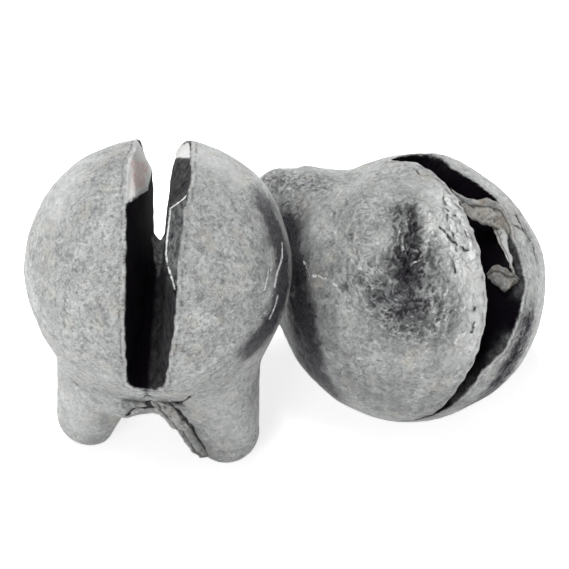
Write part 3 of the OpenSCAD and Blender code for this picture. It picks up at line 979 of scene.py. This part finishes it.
class Nodes:
    """The node tree of a material or a world, written one value at a time."""

    def __init__(self, owner):
        owner.use_nodes = True
        self.tree = owner.node_tree
        self.shader = self.tree.nodes.get("Principled BSDF")

    def node(self, kind, inputs=(), **settings):
        node = self.tree.nodes.new(kind)
        for key, value in settings.items():
            setattr(node, key, value)
        for key, value in dict(inputs).items():
            self.feed(node.inputs[key], value)
        return node

    def feed(self, socket, value):
        if isinstance(value, bpy.types.NodeSocket):
            self.tree.links.new(value, socket)
        else:
            socket.default_value = value

    def mark(self, name):
        return self.node("ShaderNodeAttribute", attribute_name=name).outputs["Fac"]

    def cast_place(self):
        return self.node("ShaderNodeAttribute", attribute_name="cast_mm").outputs["Vector"]

    def noise(self, place, scale, detail, **others):
        """Noise with this many features to a millimetre."""
        return self.node("ShaderNodeTexNoise", {"Vector": place, "Scale": scale, "Detail": detail, **others})

    def grain(self, place, scale, detail, roughness):
        return self.noise(place, scale, detail, Roughness=roughness).outputs["Fac"]

    def cells(self, place, scale, feature="F1"):
        inputs = {"Vector": place, "Scale": scale}
        return self.node("ShaderNodeTexVoronoi", inputs, feature=feature).outputs["Distance"]

    def stretched(self, place, by):
        return self.node("ShaderNodeVectorMath", {0: place, 1: by}, operation="MULTIPLY").outputs["Vector"]

    def ranged(self, value, low, high, to_low=0.0, to_high=1.0):
        inputs = {"Value": value, "From Min": low, "From Max": high, "To Min": to_low, "To Max": to_high}
        return self.node("ShaderNodeMapRange", inputs).outputs["Result"]

    def patches(self, place, grain, low, high, to_low=0.0, to_high=1.0):
        """A grain of this scale, detail and roughness, with its values from low to high stretched."""
        return self.ranged(self.grain(place, *grain), low, high, to_low, to_high)

    def math(self, kind, a, b=0.0):
        return self.node("ShaderNodeMath", {0: a, 1: b}, operation=kind).outputs[0]

    def times(self, a, b):
        return self.math("MULTIPLY", a, b)

    def plus(self, a, b):
        return self.math("ADD", a, b)

    def minus(self, a, b):
        return self.math("SUBTRACT", a, b)

    def larger(self, a, b):
        return self.math("MAXIMUM", a, b)

    def absolute(self, a):
        return self.math("ABSOLUTE", a)

    def mix(self, share, a, b):
        """Colour a, with this share of colour b over it."""
        return self.node("ShaderNodeMix", {0: share, 6: a, 7: b}, data_type="RGBA").outputs[2]

    def bump(self, height, strength, distance, below=None):
        inputs = {"Height": height, "Strength": strength, "Distance": distance}
        if below is not None:
            inputs["Normal"] = below
        return self.node("ShaderNodeBump", inputs).outputs["Normal"]

    def sees_white(self):
        """1 for the rays that should see a white background, and 0 for the rays that light."""
        path = self.node("ShaderNodeLightPath")
        seen = path.outputs["Is Camera Ray"]
        for ray in ("Is Glossy Ray", "Is Transmission Ray"):
            seen = self.larger(seen, path.outputs[ray])
        return seen


def rgba(rgb):
    return (*rgb, 1.0)


def palette(settings):
    """The lead's colours, as the shaders take them."""
    return SimpleNamespace(**{key: rgba(getattr(settings, key)) for key in LeadColours.__annotations__})


def cast_skin(m, colours, place, speckle):
    """Colour of the cast skin: mottled, specked and pitted, with wear and painted highlights at its edges and
    painted shade in its hollows.
    """
    colour = m.mix(m.patches(place, (0.9, 6, 0.65), 0.36, 0.64), colours.dull, colours.pale)
    colour = m.mix(m.patches(place, (3.2, 6, 0.75), 0.50, 0.66, 0.0, 0.35), colour, colours.fresh)
    colour = m.mix(m.ranged(speckle, 0.38, 0.52, 0.7, 0.0), colour, colours.dark)
    colour = m.mix(m.patches(place, (2.2, 6, 0.7), 0.34, 0.5, 0.6, 0.0), colour, colours.dark)
    flecks = m.noise(place, 4.2, 5.0, Distortion=1.2).outputs["Fac"]
    colour = m.mix(m.ranged(flecks, 0.36, 0.43, 0.42, 0.0), colour, colours.grime_and_shade)
    colour = m.mix(m.ranged(flecks, 0.58, 0.68, 0.0, 0.45), colour, colours.fresh)
    colour = m.mix(m.patches(place, (1.1, 3, 0.6), 0.54, 0.72, 0.0, 0.45), colour, colours.warm)
    # Edges: wear, and a painted highlight along them
    edge_wear_and_highlight = m.times(m.mark("edge"), m.ranged(speckle, 0.3, 0.6, 0.0, 0.7))
    colour = m.mix(edge_wear_and_highlight, colour, colours.fresh)
    # Painted shade in the hollows
    return m.mix(m.times(m.mark("hollow"), 0.45), colour, colours.grime_and_shade)


def slot_wall(m, colours, place):
    """Colour of the slot's walls: near-black painted shade, with streaked facets in painted light and fresh
    cuts with painted pink glints.
    """
    streak = m.grain(m.stretched(place, (6.0, 3.0, 3.0)), 1.0, 6, 0.75)
    painted_wall_light = m.mix(m.ranged(streak, 0.36, 0.66), colours.tarnish_and_shade, colours.dull)
    wall = m.mix(m.mark("painted_wall_light"), colours.slot, painted_wall_light)
    cut = m.mix(m.ranged(streak, 0.34, 0.42, 0.3, 0.0), colours.cut, colours.dull)
    glint = m.mark("glint")
    pink = m.times(glint, m.patches(place, (13.0, 3, 0.7), 0.46, 0.58, 0.0, 0.75))
    cut = m.mix(pink, cut, colours.pink)
    specks = m.times(glint, m.patches(place, (15.0, 4, 0.8), 0.38, 0.46, 0.7, 0.0))
    cut = m.mix(specks, cut, colours.dull)
    return m.mix(m.mark("fresh"), wall, cut)


def cast_lead(name, colours):
    """Cast lead: mottled and pitted, painted near black as shade in its slot, tarnished where it was handled,
    and darkened with painted shade where the shots meet.
    """
    material = bpy.data.materials.new(name)
    m = Nodes(material)
    place = m.cast_place()
    speckle = m.grain(place, 7.0, 8, 0.8)
    colour = cast_skin(m, colours, place, speckle)
    pits = m.ranged(m.cells(place, 4.5), 0.0, 0.2, 1.0, 0.0)
    pitting = m.times(pits, m.patches(place, (1.1, 3, 0.6), 0.46, 0.62, 0.0, 0.8))
    colour = m.mix(pitting, colour, colours.grime_and_shade)

    # Two sizes of folds where pliers gripped, with painted highlights on their crests and painted shade in
    # their troughs
    shift = m.noise(place, 1.4, 4.0).outputs["Color"]
    warp = {0: shift, 1: (0.7, 0.7, 0.7), 2: place}
    warped = m.node("ShaderNodeVectorMath", warp, operation="MULTIPLY_ADD").outputs["Vector"]
    wide_edge = m.cells(warped, 2.2, "DISTANCE_TO_EDGE")
    fine_edge = m.cells(warped, 5.5, "DISTANCE_TO_EDGE")
    folds = m.plus(m.cells(warped, 2.2), m.times(m.cells(warped, 5.5), 0.5))
    crest_highlight = m.larger(m.ranged(wide_edge, 0.01, 0.05, 0.6, 0.0), m.ranged(fine_edge, 0.02, 0.14, 0.75, 0.0))
    crest_highlight = m.times(crest_highlight, m.patches(place, (2.6, 3, 0.6), 0.42, 0.58))

    # Pale lead, with painted sheen and painted light brightening parts of the balls
    pale = m.mark("pale")
    colour = m.mix(m.times(pale, 0.85), colour, colours.fresh)
    crackle = m.times(m.ranged(wide_edge, 0.0, 0.035, 1.0, 0.0), m.ranged(speckle, 0.35, 0.5))
    crackle = m.times(m.times(pale, 0.6), crackle)
    colour = m.mix(crackle, colour, colours.grime_and_shade)
    filed = m.node("ShaderNodeVectorRotate", {"Vector": place, "Angle": 0.9}, rotation_type="Z_AXIS")
    strokes = m.grain(m.stretched(filed.outputs["Vector"], (1.2, 7.0, 7.0)), 1.0, 3, 0.6)
    filing = m.times(m.mark("filed"), m.ranged(strokes, 0.40, 0.52, 0.85, 0.0))
    colour = m.mix(filing, colour, colours.grime_and_shade)
    crumple = m.mark("crumple")
    crumpled = m.ranged(m.plus(crumple, m.ranged(folds, 0.2, 0.9, -0.3, 0.2)), 0.12, 0.8, 0.0, 0.95)
    shade = m.mix(m.ranged(folds, 0.5, 0.95), colours.grime_and_shade, colours.dull)
    colour = m.mix(crumpled, colour, m.mix(crest_highlight, shade, colours.pale))
    # Tarnish, with painted shade and painted dark reflection where the shots meet and on their shaded parts
    film_and_shade = m.plus(m.mark("tarnish_and_shade"), m.patches(place, (1.7, 6, 0.75), 0.25, 0.75, -0.3, 0.3))
    film_and_shade = m.ranged(film_and_shade, 0.2, 0.85, 0.0, 0.96)
    colour = m.mix(film_and_shade, colour, colours.tarnish_and_shade)
    # Rubbed lead and painted highlights: brighter streaks along edges
    rubbed_and_highlight = m.ranged(m.plus(m.mark("rubbed_and_highlight"), m.ranged(speckle, 0.3, 0.7, -0.5, 0.1)), 0.2, 0.45)
    colour = m.mix(rubbed_and_highlight, colour, colours.fresh)
    rim = m.times(m.mark("rim"), m.patches(place, (2.2, 3, 0.6), 0.42, 0.58, 0.0, 0.85))
    colour = m.mix(rim, colour, colours.grime_and_shade)
    crack = m.ranged(m.plus(m.mark("crack"), m.ranged(speckle, 0.3, 0.7, -0.15, 0.15)), 0.5, 0.75)
    colour = m.mix(crack, colour, colours.grime_and_shade)

    # Inside the slot: near-black painted shade, with painted light on its facets and fresh cuts painted near
    # white
    inner = m.mark("inner")
    wall = m.mix(rubbed_and_highlight, slot_wall(m, colours, place), colours.fresh)
    m.feed(m.shader.inputs["Base Color"], m.mix(inner, colour, wall))
    dull = m.larger(m.times(film_and_shade, 0.8), inner)
    dull = m.times(dull, m.minus(1.0, m.larger(rubbed_and_highlight, m.mark("fresh"))))
    m.feed(m.shader.inputs["Metallic"], m.ranged(dull, 0.0, 1.0, 0.4, 1.0))
    rough = m.patches(place, (2.5, 5, 0.6), 0.3, 0.7, 0.26, 0.56)
    rough = m.minus(rough, m.times(film_and_shade, 0.12))
    m.feed(m.shader.inputs["Roughness"], m.larger(rough, m.ranged(inner, 0.0, 1.0, 0.0, 0.9)))
    normal = m.bump(m.grain(place, 2.2, 6, 0.7), 1.0, 0.0005)
    normal = m.bump(speckle, 1.0, 0.0002, normal)
    normal = m.bump(m.larger(pitting, crackle), 0.8, -0.00006, normal)
    normal = m.bump(filing, 0.8, -0.0001, normal)
    normal = m.bump(m.times(crumple, folds), 1.0, 0.0007, normal)
    normal = m.bump(crack, 1.0, -0.0001, normal)
    m.feed(m.shader.inputs["Normal"], normal)
    return material


def torn_lead(name, colours, tan):
    """Torn lead: grey and glossy, creased along its folds, tinted where it oxidised, brightened with painted
    light and darkened with painted shade in its creases and along its far edge.
    """
    material = bpy.data.materials.new(name)
    m = Nodes(material)
    place = m.cast_place()
    grain = m.grain(place, 3.0, 6, 0.75)
    colour = m.mix(m.ranged(grain, 0.42, 0.64), colours.dark, colours.pale)
    # Fresh lead and painted light: the glossy fold brightest, the burr brightened out of its shade
    colour = m.mix(m.mark("fresh_and_lit"), colour, colours.fresh)
    colour = m.mix(m.patches(place, (1.6, 3, 0.6), 0.42, 0.6, 0.0, tan), colour, colours.tan)
    across = m.mark("across")
    wander = m.patches(place, (1.5, 3, 0.6), 0.3, 0.7, -0.12, 0.12)
    crease = m.absolute(m.minus(m.plus(across, wander), CREASE_ACROSS))
    colour = m.mix(m.ranged(crease, 0.0, 0.09, 0.9, 0.0), colour, colours.grime_and_shade)
    # Painted shade along the strip's far edge
    colour = m.mix(m.ranged(across, 0.86, 0.97, 0.0, 0.85), colour, colours.tarnish_and_shade)
    colour = m.mix(m.patches(place, (6.0, 5, 0.8), 0.36, 0.46, 0.85, 0.0), colour, colours.grime_and_shade)
    m.feed(m.shader.inputs["Base Color"], colour)
    m.feed(m.shader.inputs["Metallic"], 0.45)
    m.feed(m.shader.inputs["Roughness"], m.ranged(grain, 0.3, 0.7, 0.3, 0.48))
    normal = m.bump(grain, 1.0, 0.0004)
    normal = m.bump(m.grain(place, 12.0, 4, 0.7), 0.6, 0.00003, normal)
    m.feed(m.shader.inputs["Normal"], normal)
    return material


def cast_shot(casting, shot, left, right, step, shape, colours):
    """Casts a whole shot and cuts it into its pieces."""
    step = step
    mesh = whole_mesh(shot + "_whole", whole_skin(casting, step, shape), casting.place)
    cut_into_pieces(casting, mesh, shot, left, right, cast_lead(shot + "_cast_lead", colours))


class SPLITSHOT_OT_front(bpy.types.Operator):
    """Casts the front shot: its two halves, its ears, its web and its burr"""

    bl_idname = "splitshot.front"
    bl_label = "Front Shot"

    def execute(self, context):
        scene = context.scene
        surface, colours = millimetres(scene.lead_surface), palette(scene.lead_colours)
        place = front_place(scene)
        rims = {LEFT: FRONT_LEFT_RIM, RIGHT: FRONT_RIGHT_RIM}
        casting = Casting(millimetres(scene.open_shot), surface, place, place.translation, rims, FRONT_FACETS)
        cast_shot(casting, "front", "left", "right", surface.front_step, front_shape, colours)
        # The burr is brightened by painted light
        burr = ribbon(casting, BURR, across=13, between=5, thickness=0.3, curl=0.1, seed=31, fresh_and_lit=0.6)
        material = torn_lead("burr_lead", colours, tan=0.3)
        torn_piece(casting, [burr], "front_burr", "front_right_half", material)
        return {"FINISHED"}


class SPLITSHOT_OT_rear(bpy.types.Operator):
    """Casts the rear shot: its two halves, its ears, its web and its torn lip"""

    bl_idname = "splitshot.rear"
    bl_label = "Rear Shot"

    def execute(self, context):
        scene = context.scene
        surface, colours = millimetres(scene.lead_surface), palette(scene.lead_colours)
        front_centre = front_place(scene).translation
        rims = {LEFT: REAR_FAR_RIM, RIGHT: REAR_NEAR_RIM}
        casting = Casting(millimetres(scene.pinched_shot), surface, rear_place(scene), front_centre, rims)
        cast_shot(casting, "rear", "far", "near", surface.rear_step, rear_shape, colours)
        # How much painted light brightens each strip: most on the glossy fold
        strips = [
            ribbon(casting, TONGUE, across=19, between=5, thickness=0.16, curl=0.12, seed=41, fresh_and_lit=0.25),
            ribbon(casting, FOLD, across=9, between=6, thickness=0.12, curl=0.02, seed=43, fresh_and_lit=0.85),
            ribbon(casting, LUMP, across=17, between=8, thickness=0.12, curl=0.05, seed=47, fresh_and_lit=0.1),
        ]
        material = torn_lead("torn_lead", colours, tan=0.5)
        torn_piece(casting, strips, "rear_torn_lip", "rear_near_half", material)
        return {"FINISHED"}


class SPLITSHOT_OT_stage(bpy.types.Operator):
    """Sets the floor, the lamps and the camera"""

    bl_idname = "splitshot.stage"
    bl_label = "Stage"

    def execute(self, context):
        stage = context.scene.shot_stage
        make_camera(stage, front_place(context.scene).translation)
        make_floor(stage)
        make_lamps(stage)
        make_sky(stage)
        context.scene.view_settings.view_transform = "Standard"
        return {"FINISHED"}


def make_camera(stage, front_centre):
    """A long lens at the photograph's angle, framed so that the front ball falls on its pixel."""
    data = bpy.data.cameras.new("camera")
    data.lens = stage.lens
    away = data.lens / data.sensor_width * PHOTO_W / PIXELS_PER_MM * MM
    across = (PHOTO_W / 2 - FRONT_BALL_PIXEL[0]) / PIXELS_PER_MM * MM
    down = (PHOTO_W / 2 - FRONT_BALL_PIXEL[1]) / PIXELS_PER_MM * MM
    target = front_centre + Vector((across, 0, 0)) - Vector(PHOTO_UP) * down
    data.clip_start, data.clip_end = CLIP_NEAR, CLIP_FAR
    camera = new_object("camera", data)
    camera.location = target + Vector(PHOTO_OUT) * away
    camera.rotation_euler = (math.pi / 2 - PHOTO_ELEVATION, 0, 0)
    bpy.context.scene.camera = camera


def make_floor(stage):
    """A pale floor, which shows as white with the object's shadow on it."""
    half = stage.floor_size / 2
    mesh = bpy.data.meshes.new("floor")
    corners = [(-half, -half, 0), (half, -half, 0), (half, half, 0), (-half, half, 0)]
    mesh.from_pydata(corners, [], [(0, 1, 2, 3)])
    material = bpy.data.materials.new("white_floor")
    m = Nodes(material)
    m.tree.nodes.clear()
    plain = m.node("ShaderNodeBsdfDiffuse", {"Color": rgba(stage.floor_colour)}).outputs[0]
    glow = m.node("ShaderNodeEmission", {"Strength": stage.floor_glow}).outputs[0]
    lifted = m.node("ShaderNodeAddShader", {0: plain, 1: glow}).outputs[0]
    shown = m.node("ShaderNodeMixShader", {0: m.sees_white(), 1: plain, 2: lifted}).outputs[0]
    m.node("ShaderNodeOutputMaterial", {0: shown})
    mesh.materials.append(material)
    new_object("floor", mesh)


def make_lamps(stage):
    """Soft boxes at the upper left and the right, aimed at the object."""
    key = ("key_lamp", stage.key_power, KEY_AT, KEY_SIZE)
    fill = ("fill_lamp", stage.fill_power, FILL_AT, FILL_SIZE)
    for name, watts, at, size in (key, fill):
        data = bpy.data.lights.new(name, "AREA")
        data.energy = watts
        data.size = size
        lamp = new_object(name, data)
        lamp.location = at
        lamp.rotation_euler = (-Vector(at)).to_track_quat("-Z", "Y").to_euler()


def make_sky(stage):
    """An even pale sky, which shows as white."""
    world = bpy.data.worlds.new("white_sky")
    m = Nodes(world)
    m.tree.nodes.clear()
    lit = m.node("ShaderNodeBackground", {"Color": WHITE, "Strength": stage.world_light}).outputs[0]
    seen = m.node("ShaderNodeBackground", {"Color": WHITE, "Strength": 1.0}).outputs[0]
    shown = m.node("ShaderNodeMixShader", {0: m.sees_white(), 1: lit, 2: seen}).outputs[0]
    m.node("ShaderNodeOutputWorld", {0: shown})
    bpy.context.scene.world = world


class SPLITSHOT_PT_panel(bpy.types.Panel):
    """Buttons that build each group of pieces"""

    bl_label = "Split Shot Pair"
    bl_idname = "SPLITSHOT_PT_panel"
    bl_space_type = "VIEW_3D"
    bl_region_type = "UI"
    bl_category = "Split Shot"

    def draw(self, context):
        for operator in OPERATORS:
            self.layout.operator(operator.bl_idname)


OPERATORS = (SPLITSHOT_OT_stage, SPLITSHOT_OT_front, SPLITSHOT_OT_rear)
SETTINGS = {
    "open_shot": OpenShot,
    "pinched_shot": PinchedShot,
    "lead_surface": LeadSurface,
    "lead_colours": LeadColours,
    "shot_stage": StageSettings,
}


def register():
    for cls in (*SETTINGS.values(), *OPERATORS, SPLITSHOT_PT_panel):
        bpy.utils.register_class(cls)
    for name, cls in SETTINGS.items():
        setattr(bpy.types.Scene, name, PointerProperty(type=cls))


def unregister():
    for name in SETTINGS:
        delattr(bpy.types.Scene, name)
    for cls in (SPLITSHOT_PT_panel, *reversed(OPERATORS), *reversed(SETTINGS.values())):
        bpy.utils.unregister_class(cls)


def main():
    register()
    bpy.ops.splitshot.stage()
    bpy.ops.splitshot.front()
    bpy.ops.splitshot.rear()


if __name__ == "__main__":
    main()
